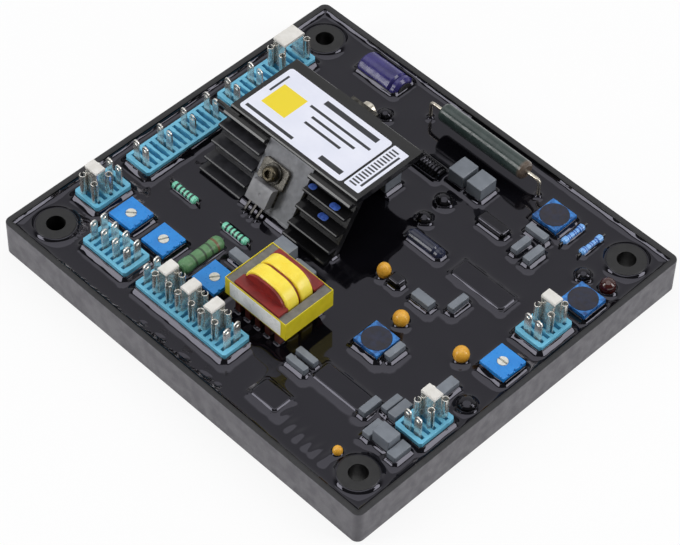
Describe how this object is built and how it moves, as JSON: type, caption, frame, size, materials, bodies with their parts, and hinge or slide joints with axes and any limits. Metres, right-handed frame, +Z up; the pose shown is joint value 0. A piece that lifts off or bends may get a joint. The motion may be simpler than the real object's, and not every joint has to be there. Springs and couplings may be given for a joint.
{
  "type": "automatic voltage regulator",
  "caption": "Open black tray of resin-potted electronics with finned heatsink, transformer, blue tab terminal blocks with push-on links and trimmers; holds a generator's voltage steady.",
  "frame": {"origin": "centre of the tray underside", "axes": "+X along the tray's long side from the end with most terminal blocks, +Y along the short side towards the lying capacitor, +Z up out of the tray"},
  "size_m": [0.15, 0.135, 0.0304],
  "materials": {
    "tray_plastic": "moulded, fine grain",
    "board": "board green",
    "resin": "glossy potting resin",
    "sink_black": "black anodised",
    "plate_grey": "satin grey",
    "device_plastic": "moulded",
    "device_metal": "tinned",
    "screw_metal": "passivated",
    "core_iron": "laminated, bare",
    "bobbin_red": "moulded",
    "winding_yellow": "film wrap",
    "tape_yellow": "film tape",
    "lead_metal": "tinned",
    "block_blue": "moulded",
    "tab_metal": "tinned",
    "link_white": "moulded",
    "trimmer_blue": "moulded",
    "rotor_white": "moulded",
    "seal_dark": "sealing lacquer",
    "can_purple": "shrink sleeve",
    "rubber_black": "rubber",
    "axial_navy": "sleeve",
    "bead_amber": "dipped",
    "film_grey": "moulded",
    "glaze_green": "vitreous glaze",
    "lacquer_green": "lacquer",
    "lacquer_teal": "lacquer",
    "lacquer_blue": "lacquer",
    "lamp_red": "tinted epoxy",
    "black_epoxy": "epoxy"
  },
  "bodies": {
    "body": {"tray": "tray_plastic", "circuit_board": "board", "potting_resin": "resin", "heatsink": "sink_black", "mounting_plate": "plate_grey", "thyristor_body": "device_plastic", "thyristor_frame": "device_metal", "thyristor_washer": "screw_metal", "thyristor_screw": "screw_metal", "rear_device_body": "device_plastic", "rear_device_frame": "device_metal", "rear_device_screw": "screw_metal", "transformer_core": "core_iron", "transformer_bobbin": "bobbin_red", "front_winding": "winding_yellow", "rear_winding": "winding_yellow", "transformer_tape": "tape_yellow", "transformer_pins": "lead_metal", "block_a": "block_blue", "block_b": "block_blue", "block_c": "block_blue", "block_d": "block_blue", "block_e": "block_blue", "block_f": "block_blue", "block_g": "block_blue", "terminal_tabs": "tab_metal", "link_bodies": "tab_metal", "link_caps": "link_white", "link_contacts": "tab_metal", "trimmer_one": "trimmer_blue", "trimmer_two": "trimmer_blue", "trimmer_three": "trimmer_blue", "trimmer_four": "trimmer_blue", "sealed_trimmers": "trimmer_blue", "trimmer_seals": "seal_dark", "can_sleeve": "can_purple", "can_seal": "rubber_black", "axial_capacitor": "axial_navy", "bead_capacitors": "bead_amber", "film_capacitors": "film_grey", "tall_capacitors": "film_grey", "wirewound_tube": "glaze_green", "wirewound_leads": "lead_metal", "power_resistor": "lacquer_green", "power_leads": "lead_metal", "teal_resistors": "lacquer_teal", "blue_resistors": "lacquer_blue", "small_leads": "lead_metal", "indicator_lamp": "lamp_red", "black_devices": "black_epoxy", "black_capacitors": "black_epoxy", "ribbed_choke": "black_epoxy", "potted_chips": "black_epoxy", "potted_module": "black_epoxy"},
    "rotor_one_turn": {"rotor_one": "rotor_white"},
    "rotor_two_turn": {"rotor_two": "rotor_white"},
    "rotor_three_turn": {"rotor_three": "rotor_white"},
    "rotor_four_turn": {"rotor_four": "rotor_white"}
  },
  "joints": [
    {"name": "rotor_one_hinge", "type": "hinge", "parent": "body", "child": "rotor_one_turn", "pos_m": [-0.0498, -0.0386, 0.0145], "axis": [0, 0, 1], "range_deg": [-140, 140]},
    {"name": "rotor_two_hinge", "type": "hinge", "parent": "body", "child": "rotor_two_turn", "pos_m": [-0.0355, -0.0386, 0.0145], "axis": [0, 0, 1], "range_deg": [-140, 140]},
    {"name": "rotor_three_hinge", "type": "hinge", "parent": "body", "child": "rotor_three_turn", "pos_m": [-0.0143, -0.03775, 0.0145], "axis": [0, 0, 1], "range_deg": [-140, 140]},
    {"name": "rotor_four_hinge", "type": "hinge", "parent": "body", "child": "rotor_four_turn", "pos_m": [0.0657, 0.0002, 0.0145], "axis": [0, 0, 1], "range_deg": [-140, 140]}
  ]
}
